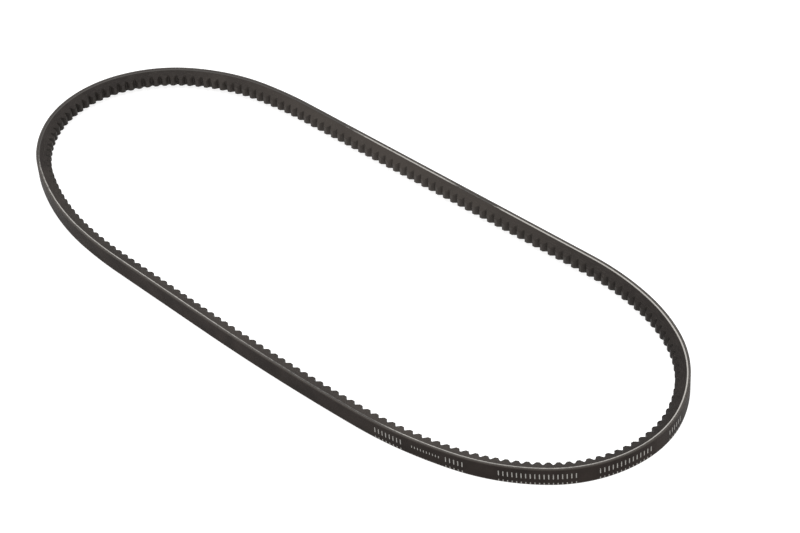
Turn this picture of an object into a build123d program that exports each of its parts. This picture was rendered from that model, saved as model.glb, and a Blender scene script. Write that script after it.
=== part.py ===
"""Raw-edge cogged V-belt, off its pulleys and lying on its side as a free loop.

The belt is built up from its back inwards: two plies of back fabric, the outer half of the adhesion
rubber, one layer of spiral-wound tensile cord, the inner half of the adhesion rubber, and the
compression rubber with its moulded cogs. X runs along the loop's longer straight run, Z is up, and
the origin is under the middle of the loop, on the surface that the belt lies on. Depth is measured
inwards from the back of the belt, and both flanks slope in as the depth grows.
"""
import os
from itertools import accumulate
from math import cos, degrees, radians, sin, tan

import numpy as np
from build123d import *

# Driving dimensions, in millimetres and degrees
outside_length = 983.0
top_width = 10.0
belt_height = 7.4
groove_angle = 40.0

outer_ply = 0.4
inner_ply = 0.35
adhesion_thickness = 1.2
cord_diameter = 0.95
cord_turns = 8
cord_spacing = 1.2

cog_count = 192
cog_depth = 2.4
gap_mouth = 3.3
gap_floor_radius = 0.55
first_gap = 3.3

# The back of the belt in plan, anticlockwise: each bend's turn and radius
front_run_heading = -2
right_end = [(4, 1500), (14, 230), (23, 110), (43, 68), (28, 58), (39, 76), (15, 110), (16, 155)]
left_end = [(8, 235), (24, 110), (32, 73), (54, None), (32, 76), (22, 160), (6, 275)]
straight_run = (0, None)

# Sizes that follow from these
flank_slope = tan(radians(groove_angle / 2))
fabric_thickness = outer_ply + inner_ply
cord_depth = fabric_thickness + adhesion_thickness / 2
adhesion_end = fabric_thickness + adhesion_thickness
cog_pitch = outside_length / cog_count
cog_root = belt_height - cog_depth


def travel_per_size(heading, turn):
    """Travel along X, along Y and along the belt, for each millimetre of a run or of a radius."""
    start = radians(heading)
    end = radians(heading + turn)
    if turn == 0:
        return cos(start), sin(start), 1.0
    return sin(end) - sin(start), cos(start) - cos(end), end - start


def solve_sizes(stretches, headings):
    """Fill in the two runs and the one free radius, so that the loop closes at its stated length."""
    turns = [turn for turn, size in stretches]
    sizes = np.array([size or 0.0 for turn, size in stretches])
    free = [place for place, (turn, size) in enumerate(stretches) if size is None]
    travel = np.array([travel_per_size(*pair) for pair in zip(headings, turns)]).T
    missing = np.array([0.0, 0.0, outside_length]) - travel @ sizes
    sizes[free] = np.linalg.solve(travel[:, free], missing)
    return sizes, travel * sizes


class Stretch:
    """One straight run or one bend of the belt's back."""

    def __init__(self, corner, heading, turn, size):
        self.corner = corner
        self.heading = heading
        self.turn = turn
        self.size = size
        self.length = radians(turn) * size if turn else size

    def inward(self):
        return np.array([-sin(radians(self.heading)), cos(radians(self.heading))])

    def centre(self):
        return self.corner + self.size * self.inward()

    def point_heading(self, heading):
        """The point of this bend where the belt heads this way."""
        return self.centre() + self.size * np.array([sin(radians(heading)), -cos(radians(heading))])

    def location(self, distance):
        """A place on the belt's back, with x along the belt and y towards the inside of the loop."""
        if self.turn:
            heading = self.heading + degrees(distance / self.size)
            return Location((*self.point_heading(heading), 0), (0, 0, heading))
        along = np.array([cos(radians(self.heading)), sin(radians(self.heading))])
        return Location((*(self.corner + distance * along), 0), (0, 0, self.heading))

    def section_plane(self):
        """The plane across the belt where this stretch starts, with x as depth and y as height."""
        along = (cos(radians(self.heading)), sin(radians(self.heading)), 0)
        return Plane(origin=(*self.corner, 0), x_dir=(*self.inward(), 0), z_dir=along)

    def carry_section(self):
        """Carry the section that was drawn last from this stretch's start to its end."""
        if self.turn:
            revolve(axis=Axis((*self.centre(), 0), (0, 0, 1)), revolution_arc=self.turn)
        else:
            extrude(amount=self.size)


def lay_out_loop():
    """All stretches in order, with the middle of the loop's box at the origin."""
    stretches = [straight_run] + right_end + [straight_run] + left_end
    turns = [turn for turn, size in stretches]
    headings = list(accumulate(turns, initial=front_run_heading))[:-1]
    sizes, travel = solve_sizes(stretches, headings)
    ends = np.cumsum(travel[:2].T, axis=0)
    corners = np.vstack([np.zeros(2), ends[:-1]])
    stretches = [Stretch(*values) for values in zip(corners, headings, turns, sizes)]
    bottom, right, top, left = [farthest_point(stretches, side) for side in (0, 90, 180, 270)]
    middle = np.array([(left[0] + right[0]) / 2, (bottom[1] + top[1]) / 2])
    for stretch in stretches:
        stretch.corner = stretch.corner - middle
    return stretches


def farthest_point(stretches, heading):
    """The loop's farthest point on one side, which is where a bend heads this way."""
    bends = [item for item in stretches if item.turn]
    bend = next(item for item in bends if item.heading <= heading <= item.heading + item.turn)
    return bend.point_heading(heading)


def location_on_loop(distance):
    """A place on the belt's back, this far round from the start of the front run."""
    for stretch in loop:
        if distance <= stretch.length:
            return stretch.location(distance)
        distance -= stretch.length


def band(outer_depth, inner_depth):
    """Corners of the belt's section between two depths, as depth and height."""
    outer_rise = outer_depth * flank_slope
    inner_rise = inner_depth * flank_slope
    return [
        (outer_depth, outer_rise),
        (inner_depth, inner_rise),
        (inner_depth, top_width - inner_rise),
        (outer_depth, top_width - outer_rise),
    ]


loop = lay_out_loop()
cord_heights = [top_width / 2 + cord_spacing * (turn - (cord_turns - 1) / 2) for turn in range(cord_turns)]
cord_places = [(cord_depth, height) for height in cord_heights]
os.makedirs("parts", exist_ok=True)

# Outer ply of the back fabric, which is the belt's back and the part that touches the floor
with BuildPart() as back_fabric_outer:
    for stretch in loop:
        with BuildSketch(stretch.section_plane()):
            Polygon(*band(0, outer_ply), align=None)
        stretch.carry_section()
back_fabric_outer.part.label = "back_fabric_outer"
export_step(back_fabric_outer.part, "parts/back_fabric_outer.step")

# Inner ply of the back fabric
with BuildPart() as back_fabric_inner:
    for stretch in loop:
        with BuildSketch(stretch.section_plane()):
            Polygon(*band(outer_ply, fabric_thickness), align=None)
        stretch.carry_section()
back_fabric_inner.part.label = "back_fabric_inner"
export_step(back_fabric_inner.part, "parts/back_fabric_inner.step")

# Outer half of the adhesion rubber, with half-round grooves where it was pressed over the cord
with BuildPart() as adhesion_rubber_outer:
    for stretch in loop:
        with BuildSketch(stretch.section_plane()):
            Polygon(*band(fabric_thickness, cord_depth), align=None)
            with Locations(*cord_places):
                Circle(cord_diameter / 2, mode=Mode.SUBTRACT)
        stretch.carry_section()
adhesion_rubber_outer.part.label = "adhesion_rubber_outer"
export_step(adhesion_rubber_outer.part, "parts/adhesion_rubber_outer.step")

# Inner half of the adhesion rubber, grooved in the same way
with BuildPart() as adhesion_rubber_inner:
    for stretch in loop:
        with BuildSketch(stretch.section_plane()):
            Polygon(*band(cord_depth, adhesion_end), align=None)
            with Locations(*cord_places):
                Circle(cord_diameter / 2, mode=Mode.SUBTRACT)
        stretch.carry_section()
adhesion_rubber_inner.part.label = "adhesion_rubber_inner"
export_step(adhesion_rubber_inner.part, "parts/adhesion_rubber_inner.step")

# The tensile cord's turns: the first and the last are cut open by the belt's flanks
for number, cord_place in enumerate(cord_places, start=1):
    with BuildPart() as cord_turn:
        for stretch in loop:
            with BuildSketch(stretch.section_plane()):
                with Locations(cord_place):
                    Circle(cord_diameter / 2)
                Polygon(*band(fabric_thickness, adhesion_end), align=None, mode=Mode.INTERSECT)
            stretch.carry_section()
    cord_turn.part.label = f"cord_turn_{number}"
    export_step(cord_turn.part, f"parts/cord_turn_{number}.step")

# One gap between two cogs, with a round floor and straight sides
with BuildSketch() as cog_gap:
    with Locations((0, cog_root + gap_floor_radius)):
        Circle(gap_floor_radius)
    with Locations((0, belt_height)):
        Rectangle(gap_mouth, gap_floor_radius / 2)
    make_hull()

# Compression rubber, with the gaps between its cogs cut across its inner edge
with BuildPart() as compression_rubber:
    for stretch in loop:
        with BuildSketch(stretch.section_plane()):
            Polygon(*band(adhesion_end, belt_height), align=None)
        stretch.carry_section()
    with BuildSketch():
        for gap in range(cog_count):
            with Locations(location_on_loop(first_gap + gap * cog_pitch)):
                add(cog_gap.sketch)
    extrude(amount=top_width, mode=Mode.SUBTRACT)
compression_rubber.part.label = "compression_rubber"
export_step(compression_rubber.part, "parts/compression_rubber.step")
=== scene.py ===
"""Looks of a raw-edge cogged V-belt, built round its CAD model.

Every layer of the belt is a closed ring of mesh that follows the same line, the belt's back in plan. A
point on the belt is given by three numbers: how far along that line it is, its depth inwards from the
back, and its height above the floor. All lengths are metres, except in the UV map, which is millimetres.
"""
from itertools import product
from math import asin, cos, pi, radians, sin, tan

import bpy
import numpy as np
from mathutils import Matrix, Vector


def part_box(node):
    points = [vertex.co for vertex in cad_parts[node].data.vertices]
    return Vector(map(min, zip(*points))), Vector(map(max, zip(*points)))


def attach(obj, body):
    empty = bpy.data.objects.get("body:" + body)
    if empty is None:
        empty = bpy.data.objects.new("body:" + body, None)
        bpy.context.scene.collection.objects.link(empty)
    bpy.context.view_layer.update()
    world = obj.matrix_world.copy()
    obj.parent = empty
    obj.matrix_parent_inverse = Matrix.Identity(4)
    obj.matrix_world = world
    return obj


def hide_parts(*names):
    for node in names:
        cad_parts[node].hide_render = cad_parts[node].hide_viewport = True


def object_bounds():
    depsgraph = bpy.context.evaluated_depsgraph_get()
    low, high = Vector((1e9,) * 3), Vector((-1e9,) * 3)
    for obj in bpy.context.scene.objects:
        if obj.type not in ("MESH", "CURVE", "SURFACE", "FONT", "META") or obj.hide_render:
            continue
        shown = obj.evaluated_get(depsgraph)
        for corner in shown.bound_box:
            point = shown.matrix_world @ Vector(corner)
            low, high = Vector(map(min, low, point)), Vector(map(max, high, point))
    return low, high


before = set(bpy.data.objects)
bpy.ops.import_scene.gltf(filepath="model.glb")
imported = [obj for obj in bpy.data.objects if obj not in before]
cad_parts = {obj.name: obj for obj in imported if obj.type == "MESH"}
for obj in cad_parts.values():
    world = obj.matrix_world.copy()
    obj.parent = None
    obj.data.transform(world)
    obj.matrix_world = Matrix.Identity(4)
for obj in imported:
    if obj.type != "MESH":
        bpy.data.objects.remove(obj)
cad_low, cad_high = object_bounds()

MM = 0.001

# The line of the belt's back, as part.py lays it out: each bend's turn in degrees and its radius
outside_length = 983 * MM
front_run_heading = -2
right_end = [
    (4, 1500 * MM), (14, 230 * MM), (23, 110 * MM), (43, 68 * MM),
    (28, 58 * MM), (39, 76 * MM), (15, 110 * MM), (16, 155 * MM),
]
left_end = [
    (8, 235 * MM), (24, 110 * MM), (32, 73 * MM), (54, None),
    (32, 76 * MM), (22, 160 * MM), (6, 275 * MM),
]
straight_run = (0, None)

# The belt's section
top_width = cad_high.z - cad_low.z
belt_height = 7.4 * MM
half_groove_angle = radians(20)
flank_slope = tan(half_groove_angle)
back_edge_radius = 0.14 * MM
cut_edge_radius = 0.12 * MM

cord_turns = 8
cord_spacing = 1.2 * MM
cord_radius = 0.475 * MM
cord_strands = 3
cord_lay = 983 * MM / 110
strand_relief = 0.13
cut_fibre_rise = 0.03 * MM

cog_count = 192
cog_depth = 2.4 * MM
cog_flank_angle = radians(30.6)
cog_tip_radius = 0.45 * MM
gap_floor_radius = 0.55 * MM
first_gap = 3.3 * MM
cog_pitch = outside_length / cog_count

# How finely the rings are cut
ring_step = 1.5 * MM
grooved_step = 2.0 * MM
line_samples = 20000
cord_points = 18
groove_points = 9
edge_points = 4
cog_fillet_points = 7
inner_face_rows = (0.3, 0.7)
shoulder_depth = belt_height - cog_depth - 0.4 * MM
sharp_corner = radians(40)

# Ticks printed on the back in two rows. Each group: its start along the belt, count, pitch, width, height
mark_row_middles = (5.3 * MM, 0.0)
mark_thickness = 0.02 * MM
mark_groups = [
    (184 * MM, 8, 2.1 * MM, 0.5 * MM, 3.0 * MM),
    (205 * MM, 10, 1.6 * MM, 0.4 * MM, 1.4 * MM),
    (223 * MM, 5, 2.1 * MM, 0.5 * MM, 3.0 * MM),
    (249 * MM, 18, 2.1 * MM, 0.5 * MM, 3.0 * MM),
    (296 * MM, 14, 2.1 * MM, 0.5 * MM, 3.0 * MM),
    (337 * MM, 6, 2.1 * MM, 0.5 * MM, 3.0 * MM),
]

# Camera, light and floor
camera_aim = Vector((24.78 * MM, 19.48 * MM, 0))
camera_azimuth = radians(46.147)
camera_elevation = radians(40.6)
camera_distance = 1215.16 * MM
camera_roll = radians(-4.403)
camera_lens = 108.15
sensor_width = 36
softbox_place = (-0.3, 0.6, 2.2)
softbox_size = 2.0
softbox_power = 26
studio_brightness = 1.0
floor_half_width = 15
floor_grey = 0.4
floor_glow = 0.82


def outer_depth(node):
    """Depth at which a CAD layer starts, from the height at which its lower flank starts."""
    return (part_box(node)[0].z - cad_low.z) / flank_slope


inner_ply_depth = outer_depth("back_fabric_inner")
adhesion_depth = outer_depth("adhesion_rubber_outer")
compression_depth = outer_depth("compression_rubber")
cord_depth = (adhesion_depth + compression_depth) / 2


class BeltLine:
    """The belt's back in plan: runs and bends that close on themselves at the belt's stated length."""

    def __init__(self):
        stretches = [straight_run] + right_end + [straight_run] + left_end
        self.turns = np.radians([turn for turn, size in stretches])
        self.headings = radians(front_run_heading) + np.cumsum(self.turns) - self.turns
        self.sizes = np.array([size or 0.0 for turn, size in stretches])
        bends = self.turns > 0
        ends = self.headings + self.turns
        travel = np.array([
            np.where(bends, np.sin(ends) - np.sin(self.headings), np.cos(self.headings)),
            np.where(bends, np.cos(self.headings) - np.cos(ends), np.sin(self.headings)),
            np.where(bends, self.turns, 1.0),
        ])
        free = self.sizes == 0
        missing = np.array([0.0, 0.0, outside_length]) - travel @ self.sizes
        self.sizes[free] = np.linalg.solve(travel[:, free], missing)
        reach = np.cumsum(travel * self.sizes, axis=1) - travel * self.sizes
        self.corners = reach[:2].T
        self.starts = reach[2]
        self.curvatures = np.where(bends, 1 / self.sizes, 0.0)
        every_point = self.place(np.linspace(0, outside_length, line_samples), 0.0, 0.0)[:, :2]
        self.corners = self.corners - (every_point.min(0) + every_point.max(0)) / 2

    def place(self, along, depth, height):
        """The row frame's points for these distances along the belt, depths and heights."""
        along, depth, height = np.broadcast_arrays(along, depth, height)
        along = np.mod(along, outside_length)
        stretch = np.searchsorted(self.starts, along, side="right") - 1
        travel = along - self.starts[stretch]
        start = self.headings[stretch]
        heading = start + travel * self.curvatures[stretch]
        bent = self.curvatures[stretch] > 0
        radius = self.sizes[stretch]
        x = np.where(bent, radius * (np.sin(heading) - np.sin(start)), travel * np.cos(start))
        y = np.where(bent, radius * (np.cos(start) - np.cos(heading)), travel * np.sin(start))
        x = x + self.corners[stretch, 0] - depth * np.sin(heading)
        y = y + self.corners[stretch, 1] + depth * np.cos(heading)
        return np.stack([x, y, height + cad_low.z], axis=-1)


belt = BeltLine()
cord_heights = top_width / 2 + cord_spacing * (np.arange(cord_turns) - (cord_turns - 1) / 2)


# Outlines

def rounded(corners, radii, points, closed=True):
    """The outline through these corners, each with a fillet of its own radius, or sharp where it is 0."""
    corners = np.array(corners, float)
    outline = []
    for place, (corner, radius) in enumerate(zip(corners, radii)):
        if radius == 0 or (not closed and place in (0, len(corners) - 1)):
            outline.append(corner)
            continue
        back = corners[place - 1] - corner
        ahead = corners[(place + 1) % len(corners)] - corner
        back = back / np.linalg.norm(back)
        ahead = ahead / np.linalg.norm(ahead)
        half_corner = np.arccos(back @ ahead) / 2
        middle = (back + ahead) / np.linalg.norm(back + ahead)
        centre = corner + middle * radius / np.sin(half_corner)
        first = corner + back * radius / np.tan(half_corner) - centre
        last = corner + ahead * radius / np.tan(half_corner) - centre
        for share in np.linspace(0, 1, points):
            spoke = first * (1 - share) + last * share
            outline.append(centre + spoke * radius / np.linalg.norm(spoke))
    return np.array(outline)


def lower_flank(depth):
    return depth * flank_slope


def upper_flank(depth):
    return top_width - depth * flank_slope


def band(start, end, back_radius=0.0):
    """The belt's section between two depths, with the edges at its outer face rounded."""
    corners = [
        (start, lower_flank(start)), (end, lower_flank(end)),
        (end, upper_flank(end)), (start, upper_flank(start)),
    ]
    return rounded(corners, (back_radius, 0, 0, back_radius), edge_points)


def adhesion_section(side):
    """One half of the adhesion rubber with its cord grooves: side -1 lies over the cord, 1 under it."""
    flank_distance = (upper_flank(cord_depth) - cord_heights[-1]) * cos(half_groove_angle)
    opening = asin(flank_distance / cord_radius) - side * half_groove_angle
    grooves = []
    for height in cord_heights:
        first = -opening if height == cord_heights[0] else -pi / 2
        last = opening if height == cord_heights[-1] else pi / 2
        for angle in np.linspace(first, last, groove_points):
            depth = cord_depth + side * cord_radius * cos(angle)
            grooves.append((depth, height + cord_radius * sin(angle)))
    edge = adhesion_depth if side < 0 else compression_depth
    if side < 0:
        return np.array([(edge, lower_flank(edge))] + grooves + [(edge, upper_flank(edge))])
    return np.array([(edge, lower_flank(edge)), (edge, upper_flank(edge))] + grooves[::-1])


# Meshes

def new_piece(name, points, faces, uv, materials, replaces=None):
    """A smooth mesh object that rides on the belt's body."""
    mesh = bpy.data.meshes.new(name)
    mesh.from_pydata(points.reshape(-1, 3).tolist(), [], faces.tolist())
    uv_map = mesh.uv_layers.new(name="belt")
    uv_map.data.foreach_set("uv", (uv / MM).astype(np.float32).ravel())
    for material in materials:
        mesh.materials.append(material)
    mesh.shade_smooth()
    piece = bpy.data.objects.new(name, mesh)
    bpy.context.scene.collection.objects.link(piece)
    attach(piece, "root")
    if replaces:
        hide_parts(replaces)
    return piece


def ring(name, along, depth, height, materials, face_material=None):
    """A closed ring that stands for the CAD node of the same name. Its arrays are columns by rows."""
    columns, rows = depth.shape
    points = belt.place(along, depth, height)
    here = np.arange(columns * rows).reshape(columns, rows)
    above = np.roll(here, -1, axis=1)
    ahead = np.roll(here, -1, axis=0)
    faces = np.stack([here, above, np.roll(above, -1, axis=0), ahead], axis=-1).reshape(-1, 4)

    section = np.stack([depth, height], axis=-1)
    step = np.linalg.norm(np.roll(section, -1, axis=1) - section, axis=-1)
    around = np.concatenate([np.zeros((columns, 1)), np.cumsum(step, axis=1)], axis=1)
    around = np.concatenate([around, around[:1]])
    length = np.concatenate([along, along[:1] + outside_length])
    length = np.concatenate([length, length[:, :1]], axis=1)
    grid = np.stack([length, around], axis=-1)
    uv = np.stack([grid[:-1, :-1], grid[:-1, 1:], grid[1:, 1:], grid[1:, :-1]], axis=2)

    piece = new_piece(name, points, faces, uv, materials, name)
    if face_material is not None:
        piece.data.polygons.foreach_set("material_index", np.tile(face_material, columns).astype(np.int32))
    piece.data.set_sharp_from_angle(angle=sharp_corner)
    piece.modifiers.new("flat faces stay flat", "WEIGHTED_NORMAL").keep_sharp = True
    return piece


def plain_ring(name, outline, step, materials):
    """A ring with the same section all the way round."""
    columns = round(outside_length / step)
    along = np.repeat(np.arange(columns)[:, None] * outside_length / columns, len(outline), axis=1)
    depth = np.tile(outline[:, 0], (columns, 1))
    height = np.tile(outline[:, 1], (columns, 1))
    return ring(name, along, depth, height, materials)


def cord_ring(name, centre_height, material):
    """One turn of the three-strand cord. Where a flank cuts it open, it ends a little proud of the flank."""
    columns = round(outside_length / ring_step)
    along = np.arange(columns)[:, None] * outside_length / columns
    angle = np.arange(cord_points)[None, :] * 2 * pi / cord_points
    strand = (angle - 2 * pi * along / cord_lay) * cord_strands / 2
    radius = cord_radius * (1 - strand_relief * (1 - np.abs(np.cos(strand))))
    depth = cord_depth - radius * np.cos(angle)
    height = centre_height - radius * np.sin(angle)
    for side, flank in ((-1, lower_flank), (1, upper_flank)):
        beyond = side * (height - flank(depth)) * cos(half_groove_angle) - cut_fibre_rise
        beyond = np.maximum(beyond, 0)
        depth = depth - beyond * sin(half_groove_angle)
        height = height - side * beyond * cos(half_groove_angle)
    return ring(name, np.broadcast_to(along, depth.shape), depth, height, [material])


def cog_outline():
    """The belt's inner edge over one pitch, from the middle of one cog to the middle of the next."""
    root = belt_height - cog_depth
    apex = root - gap_floor_radius * (1 / sin(cog_flank_angle) - 1)
    mouth = (belt_height - apex) * tan(cog_flank_angle)
    corners = [
        (-cog_pitch / 2, belt_height), (-mouth, belt_height), (0, apex),
        (mouth, belt_height), (cog_pitch / 2, belt_height),
    ]
    radii = (0, cog_tip_radius, gap_floor_radius, cog_tip_radius, 0)
    return rounded(corners, radii, cog_fillet_points, closed=False)[:-1]


def compression_ring(materials):
    """The cogged rubber: flat ground flanks, and a moulded inner face with a gap at every pitch."""
    one_pitch = cog_outline()
    gaps = first_gap + np.arange(cog_count)[:, None] * cog_pitch
    along = (gaps + one_pitch[:, 0]).ravel()
    inner = np.tile(one_pitch[:, 1], cog_count)
    columns = []
    for depth in inner:
        low, high = lower_flank(depth), upper_flank(depth)
        corners = [
            (compression_depth, lower_flank(compression_depth)),
            (shoulder_depth, lower_flank(shoulder_depth)),
            (depth, low),
            *[(depth, low + (high - low) * share) for share in inner_face_rows],
            (depth, high),
            (shoulder_depth, upper_flank(shoulder_depth)),
            (compression_depth, upper_flank(compression_depth)),
        ]
        radii = (0, 0, cut_edge_radius, 0, 0, cut_edge_radius, 0, 0)
        columns.append(rounded(corners, radii, edge_points))
    section = np.array(columns)
    rows = section.shape[1]
    # The moulded faces lie between the lower cut edge's last point and the upper cut edge's first
    first_moulded = 2 + edge_points - 1
    face_material = np.zeros(rows, int)
    face_material[first_moulded:first_moulded + len(inner_face_rows) + 1] = 1
    along = np.repeat(along[:, None], rows, axis=1)
    return ring(
        "compression_rubber", along, section[..., 0], section[..., 1], materials,
        face_material,
    )


def printed_marks(material):
    """Plain ticks printed on the back in two rows, the lower one running off the belt's edge."""
    box = [(0, 3, 2, 1), (4, 5, 6, 7), (0, 1, 5, 4), (1, 2, 6, 5), (2, 3, 7, 6), (3, 0, 4, 7)]
    points, faces, uv = [], [], []
    for start, count, pitch, width, tick_height in mark_groups:
        for tick, middle in product(range(count), mark_row_middles):
            left = start + tick * pitch
            right = left + width
            foot = max(middle - tick_height / 2, back_edge_radius)
            top = middle + tick_height / 2
            corners = np.array([(left, foot), (right, foot), (right, top), (left, top)])
            first_corner = 4 * len(points)
            for depth in (mark_thickness, -mark_thickness):
                points.append(belt.place(corners[:, 0], depth, corners[:, 1]))
            faces += [[first_corner + corner for corner in face] for face in box]
            uv += [[corners[corner % 4] for corner in face] for face in box]
    return new_piece("printed_marks", np.concatenate(points), np.array(faces), np.array(uv), [material])


# Materials

class Shader:
    """A material's nodes, with short ways to add the nodes that these materials share."""

    def __init__(self, name):
        self.material = bpy.data.materials.new(name)
        self.material.use_nodes = True
        self.tree = self.material.node_tree
        self.surface = self.tree.nodes["Principled BSDF"]
        self.belt = self.add("ShaderNodeUVMap", {}, uv_map="belt")
        place = self.add("ShaderNodeTexCoord", {}, output="Object")
        self.place = self.scaled(place, (1 / MM, 1 / MM, 1 / MM))

    def add(self, kind, inputs, output=0, **settings):
        """Add a node, set or link its inputs, and give one of its outputs."""
        node = self.tree.nodes.new(kind)
        for name, value in settings.items():
            setattr(node, name, value)
        for name, value in inputs.items():
            self.feed(node.inputs[name], value)
        return node.outputs[output]

    def feed(self, socket, value):
        if isinstance(value, bpy.types.NodeSocket):
            self.tree.links.new(value, socket)
        else:
            socket.default_value = value

    def set(self, **inputs):
        """Set the surface's own inputs, with _ for the spaces in their names."""
        for name, value in inputs.items():
            self.feed(self.surface.inputs[name.replace("_", " ")], value)

    def scaled(self, vector, scale):
        return self.add("ShaderNodeMapping", {"Vector": vector, "Scale": scale})

    def noise(self, vector, scale, detail=2.0, roughness=0.5):
        inputs = {"Vector": vector, "Scale": scale, "Detail": detail, "Roughness": roughness}
        return self.add("ShaderNodeTexNoise", inputs)

    def calculate(self, operation, first, second=0.0):
        return self.add("ShaderNodeMath", {0: first, 1: second}, operation=operation)

    def span(self, value, low, high, to_low=0.0, to_high=1.0):
        """value from low to high, changed to run from to_low to to_high, and kept between them."""
        inputs = {"Value": value, "From Min": low, "From Max": high, "To Min": to_low, "To Max": to_high}
        return self.add("ShaderNodeMapRange", inputs)

    def blend(self, share, first, second):
        return self.add("ShaderNodeMix", {0: share, 6: first, 7: second}, output=2, data_type="RGBA")

    def ramp(self, value, stops):
        """A grey ramp through these (place, value) stops."""
        output = self.add("ShaderNodeValToRGB", {"Fac": value})
        elements = output.node.color_ramp.elements
        while len(elements) < len(stops):
            elements.new(0.5)
        for element, (place, grey) in zip(elements, stops):
            element.position = place
            element.color = (grey, grey, grey, 1)
        return output

    def round_the_belt(self, stops):
        """A ramp whose places are shares of the belt's length."""
        along = self.add("ShaderNodeSeparateXYZ", {0: self.belt}, output="X")
        return self.ramp(self.calculate("DIVIDE", along, outside_length / MM), stops)

    def flank_place(self):
        """On a flank: how far along the belt a point is, and how deep, which its height tells."""
        along = self.add("ShaderNodeSeparateXYZ", {0: self.belt}, output="X")
        height = self.add("ShaderNodeSeparateXYZ", {0: self.place}, output="Z")
        depth = self.calculate("DIVIDE", height, flank_slope)
        return self.add("ShaderNodeCombineXYZ", {"X": along, "Y": depth})

    def bump(self, height, distance):
        normal = self.add("ShaderNodeBump", {"Height": height, "Distance": distance, "Strength": 1.0})
        self.feed(self.surface.inputs["Normal"], normal)


def colour(red, green, blue):
    return (red, green, blue, 1)


def weave(shader, thread_pitch, bias):
    """Height of a plain weave laid on the bias, whose threads meet again after one round of the belt."""
    apart = shader.add("ShaderNodeSeparateXYZ", {0: shader.belt}, output="X")
    across = apart.node.outputs["Y"]
    threads = round(outside_length * cos(bias) / thread_pitch)
    per_along = 2 * pi * threads / (outside_length / MM)
    per_across = per_along * tan(bias)
    lean_along = shader.calculate("MULTIPLY", apart, per_along)
    lean_across = shader.calculate("MULTIPLY", across, per_across)
    rising = shader.calculate("SINE", shader.calculate("ADD", lean_along, lean_across))
    falling = shader.calculate("SINE", shader.calculate("SUBTRACT", lean_along, lean_across))
    return shader.calculate("MULTIPLY", rising, falling)


def back_fabric_material():
    """Rubberised cloth: a shallow bias weave under a skin of black rubber, with a painted highlight along
    its two edges.
    """
    shader = Shader("back_fabric_rubberised")
    threads = weave(shader, 0.5 * MM, radians(55))
    grain = shader.noise(shader.place, 3.2, 3.0, 0.6)
    paleness = shader.noise(shader.place, 0.09, 3.0)
    dusty = shader.span(paleness, 0.35, 0.7)
    base = shader.blend(dusty, colour(0.0145, 0.0108, 0.009), colour(0.025, 0.019, 0.0162))
    base = shader.blend(shader.span(grain, 0.55, 0.75, 0, 0.5), base, colour(0.042, 0.034, 0.029))
    # Painted highlight: the cloth is painted paler within a millimetre of its two edges, patchy with the
    # grain, for the light that the rounded edges catch.
    height = shader.add("ShaderNodeSeparateXYZ", {0: shader.place}, output="Z")
    from_middle = shader.calculate("ABSOLUTE", shader.calculate("SUBTRACT", height, top_width / MM / 2))
    patchy = shader.span(grain, 0.3, 0.6, 0.4, 1)
    paling = shader.calculate("MULTIPLY", shader.span(from_middle, 4.0, 4.9), patchy)
    shader.set(Base_Color=shader.blend(paling, base, colour(0.062, 0.053, 0.047)))
    shader.set(Roughness=shader.span(grain, 0.3, 0.7, 0.5, 0.65))
    shader.set(Specular_IOR_Level=0.06)
    shader.bump(shader.calculate("ADD", shader.calculate("MULTIPLY", threads, 0.25), grain), 0.03 * MM)
    return shader.material


def inner_fabric_material():
    """The inner ply, which shows as a line of cut thread ends, greyer than the rubber round it."""
    shader = Shader("inner_fabric_cut_threads")
    ends = shader.noise(shader.scaled(shader.belt, (2.4, 3.0, 1.0)), 1.0, 2.0)
    paling = shader.noise(shader.scaled(shader.belt, (0.06, 0.1, 1.0)), 1.0, 3.0)
    bare = shader.span(paling, 0.35, 0.6, 0.35, 1.0)
    share = shader.calculate("MULTIPLY", shader.span(ends, 0.4, 0.6), bare)
    shader.set(Base_Color=shader.blend(share, colour(0.024, 0.021, 0.019), colour(0.13, 0.12, 0.11)))
    shader.set(Roughness=0.8)
    shader.bump(ends, 0.04 * MM)
    return shader.material


def adhesion_rubber_material():
    """Plain black rubber round the cord, ground smooth on the flanks."""
    shader = Shader("adhesion_rubber_black")
    grain = shader.noise(shader.place, 5.0, 3.0, 0.6)
    streaks = shader.noise(shader.scaled(shader.belt, (0.25, 8.0, 1.0)), 1.0, 2.0)
    streaked = shader.span(streaks, 0.4, 0.7)
    base = shader.blend(streaked, colour(0.03, 0.0255, 0.0222), colour(0.048, 0.041, 0.036))
    shader.set(Base_Color=base)
    shader.set(Roughness=shader.span(grain, 0.3, 0.7, 0.5, 0.66))
    shader.set(Specular_IOR_Level=0.12)
    shader.bump(grain, 0.02 * MM)
    return shader.material


# Round the belt, as shares of its length: how much of the ground cord shows, and how pale the rubber is
# painted, a painted light and shade that leaves the loop's two ends darker
cord_showing = [
    (0.0, 0.5), (0.06, 0.5), (0.10, 0.38), (0.14, 0.22), (0.185, 0.2), (0.197, 0.5), (0.33, 0.52),
    (0.345, 0.75), (0.39, 1.0), (0.535, 0.9), (0.55, 0.17), (0.57, 0.17), (0.585, 0.6), (0.64, 0.5),
    (0.665, 0.0), (0.88, 0.0), (0.905, 0.35), (0.94, 0.5),
]
# Painted light and shade on the flanks and cogs: darkest at the loop's two ends, paler between them.
painted_shade_round_belt = [
    (0.0, 0.4), (0.07, 0.65), (0.14, 0.5), (0.21, 0.85), (0.3, 0.25), (0.35, 0.0), (0.41, 0.0), (0.5, 0.5),
    (0.61, 1.0), (0.73, 0.65), (0.77, 0.3), (0.84, 0.05), (0.88, 0.05), (0.94, 0.5), (1.0, 0.4),
]


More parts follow.
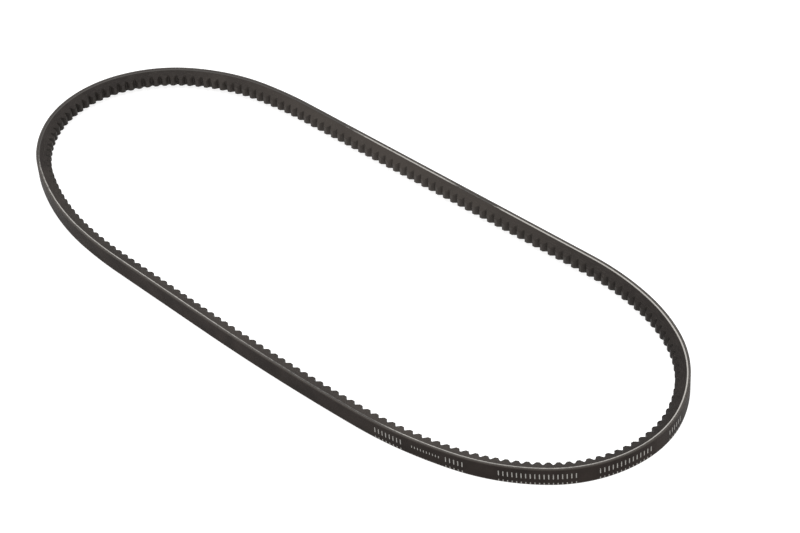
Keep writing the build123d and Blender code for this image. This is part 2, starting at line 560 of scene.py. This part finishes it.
def tensile_cord_material():
    """Off-white fibres. Grinding the flanks smears black rubber over the outermost turns."""
    shader = Shader("tensile_cord_fibres")
    showing = shader.round_the_belt(cord_showing)
    smear = shader.noise(shader.scaled(shader.belt, (0.35, 3.5, 1.0)), 1.0, 3.0, 0.6)
    fibres = shader.noise(shader.scaled(shader.belt, (1.2, 9.0, 1.0)), 1.0, 2.0)
    bare = shader.span(shader.calculate("ADD", showing, smear), 0.72, 1.05)
    bare = shader.calculate("MULTIPLY", bare, shader.span(showing, 0.0, 0.2))
    pale = shader.span(fibres, 0.35, 0.65)
    fibre = shader.blend(pale, colour(0.27, 0.255, 0.235), colour(0.5, 0.48, 0.45))
    shader.set(Base_Color=shader.blend(bare, colour(0.036, 0.031, 0.027), fibre))
    shader.set(Roughness=shader.span(bare, 0.0, 1.0, 0.6, 0.85))
    shader.bump(fibres, 0.05 * MM)
    return shader.material


def ground_rubber_material():
    """The compression rubber where its flanks are ground: painted light and shade round the belt with random
    dust patches, streaks along the belt, cut fibre ends.
    """
    shader = Shader("compression_rubber_ground")
    grain = shader.noise(shader.place, 5.5, 3.0, 0.65)
    streaks = shader.noise(shader.scaled(shader.flank_place(), (0.2, 6.0, 1.0)), 1.0, 3.0)
    patches = shader.noise(shader.place, 0.05, 2.0)
    ends = shader.noise(shader.scaled(shader.place, (1.0, 1.0, 0.3)), 4.5, 1.0)
    # Painted light and shade round the belt, with random dust patches on top, sets how pale the ground flank
    # is.
    patches = shader.span(patches, 0.3, 0.7, -0.2, 0.2)
    paleness = shader.calculate("ADD", shader.round_the_belt(painted_shade_round_belt), patches)
    base = shader.blend(paleness, colour(0.011, 0.0085, 0.0075), colour(0.042, 0.035, 0.030))
    base = shader.blend(shader.span(streaks, 0.45, 0.75, 0, 0.6), base, colour(0.052, 0.0445, 0.039))
    base = shader.blend(shader.span(ends, 0.68, 0.76, 0, 0.8), base, colour(0.13, 0.115, 0.10))
    shader.set(Base_Color=base)
    shader.set(Roughness=shader.span(grain, 0.3, 0.7, 0.52, 0.7))
    shader.set(Specular_IOR_Level=0.12)
    shader.bump(shader.calculate("ADD", grain, shader.calculate("MULTIPLY", streaks, 0.6)), 0.035 * MM)
    return shader.material


def moulded_rubber_material():
    """The compression rubber on its cogs: the mould's dull skin, painted paler than the ground flanks to
    light the gaps between the cogs, with painted light and shade round the belt and faint lines across the
    belt.
    """
    shader = Shader("compression_rubber_moulded")
    grain = shader.noise(shader.place, 4.0, 3.0, 0.6)
    lines = shader.noise(shader.scaled(shader.belt, (6.0, 0.3, 1.0)), 1.0, 2.0)
    # Painted light: the cog faces are painted paler than the ground flanks, which lights the gaps between
    # the cogs, and the painted light and shade round the belt darkens them at the loop's two ends.
    paleness = shader.round_the_belt(painted_shade_round_belt)
    base = shader.blend(paleness, colour(0.015, 0.0125, 0.011), colour(0.052, 0.044, 0.0385))
    base = shader.blend(shader.span(grain, 0.4, 0.7, 0, 0.5), base, colour(0.06, 0.0515, 0.0455))
    shader.set(Base_Color=base)
    shader.set(Roughness=shader.span(lines, 0.3, 0.7, 0.5, 0.64))
    shader.set(Specular_IOR_Level=0.15)
    shader.bump(shader.calculate("ADD", grain, shader.calculate("MULTIPLY", lines, 0.5)), 0.03 * MM)
    return shader.material


def printed_ink_material():
    """Thin off-white ink that has not taken in the low spots of the cloth."""
    shader = Shader("printed_ink")
    speckle = shader.noise(shader.place, 3.0, 3.0, 0.6)
    share = shader.span(speckle, 0.3, 0.5)
    shader.set(Base_Color=shader.blend(share, colour(0.12, 0.11, 0.10), colour(0.32, 0.31, 0.29)))
    shader.set(Roughness=0.7)
    shader.bump(speckle, 0.02 * MM)
    return shader.material


# The belt
fabric = back_fabric_material()
rubber = adhesion_rubber_material()
cord = tensile_cord_material()
inner_fabric = inner_fabric_material()
outer_ply = band(0, inner_ply_depth, back_edge_radius)
inner_ply = band(inner_ply_depth, adhesion_depth)
plain_ring("back_fabric_outer", outer_ply, ring_step, [fabric])
plain_ring("back_fabric_inner", inner_ply, ring_step, [inner_fabric])
plain_ring("adhesion_rubber_outer", adhesion_section(-1), grooved_step, [rubber])
plain_ring("adhesion_rubber_inner", adhesion_section(1), grooved_step, [rubber])
for number, cord_height in enumerate(cord_heights, start=1):
    cord_ring(f"cord_turn_{number}", cord_height, cord)
compression_ring([ground_rubber_material(), moulded_rubber_material()])
printed_marks(printed_ink_material())


# Stage
floor_mesh = bpy.data.meshes.new("floor")
floor_corners = [
    (-floor_half_width, -floor_half_width, cad_low.z), (floor_half_width, -floor_half_width, cad_low.z),
    (floor_half_width, floor_half_width, cad_low.z), (-floor_half_width, floor_half_width, cad_low.z),
]
floor_mesh.from_pydata(floor_corners, [], [(0, 1, 2, 3)])
floor = bpy.data.objects.new("floor", floor_mesh)
bpy.context.scene.collection.objects.link(floor)
floor_material = bpy.data.materials.new("white_light_table")
floor_material.use_nodes = True
floor_surface = floor_material.node_tree.nodes["Principled BSDF"]
floor_surface.inputs["Base Color"].default_value = colour(floor_grey, floor_grey, floor_grey)
floor_surface.inputs["Roughness"].default_value = 0.9
floor_surface.inputs["Emission Color"].default_value = colour(1, 1, 1)
floor_surface.inputs["Emission Strength"].default_value = floor_glow
floor_mesh.materials.append(floor_material)

world = bpy.data.worlds.new("white_studio")
world.use_nodes = True
world.node_tree.nodes["Background"].inputs["Color"].default_value = colour(1, 1, 1)
world.node_tree.nodes["Background"].inputs["Strength"].default_value = studio_brightness
bpy.context.scene.world = world


def soft_light(name, position, size, power):
    """A large square light that points at the belt and isn't seen itself."""
    light = bpy.data.lights.new(name, "AREA")
    light.size = size
    light.energy = power
    lamp = bpy.data.objects.new(name, light)
    lamp.location = position
    lamp.rotation_euler = (-Vector(position)).to_track_quat("-Z", "Y").to_euler()
    lamp.visible_camera = False
    bpy.context.scene.collection.objects.link(lamp)


soft_light("softbox_overhead", softbox_place, softbox_size, softbox_power)

camera_data = bpy.data.cameras.new("camera")
camera_data.lens = camera_lens
camera_data.sensor_width = sensor_width
camera = bpy.data.objects.new("camera", camera_data)
bpy.context.scene.collection.objects.link(camera)
towards_camera = Vector((
    sin(camera_azimuth) * cos(camera_elevation),
    -cos(camera_azimuth) * cos(camera_elevation),
    sin(camera_elevation),
))
camera.location = camera_aim + towards_camera * camera_distance
level = (-towards_camera).to_track_quat("-Z", "Y").to_matrix()
camera.rotation_euler = (level @ Matrix.Rotation(camera_roll, 3, "Z")).to_euler()
bpy.context.scene.camera = camera
bpy.context.scene.view_settings.view_transform = "Standard"
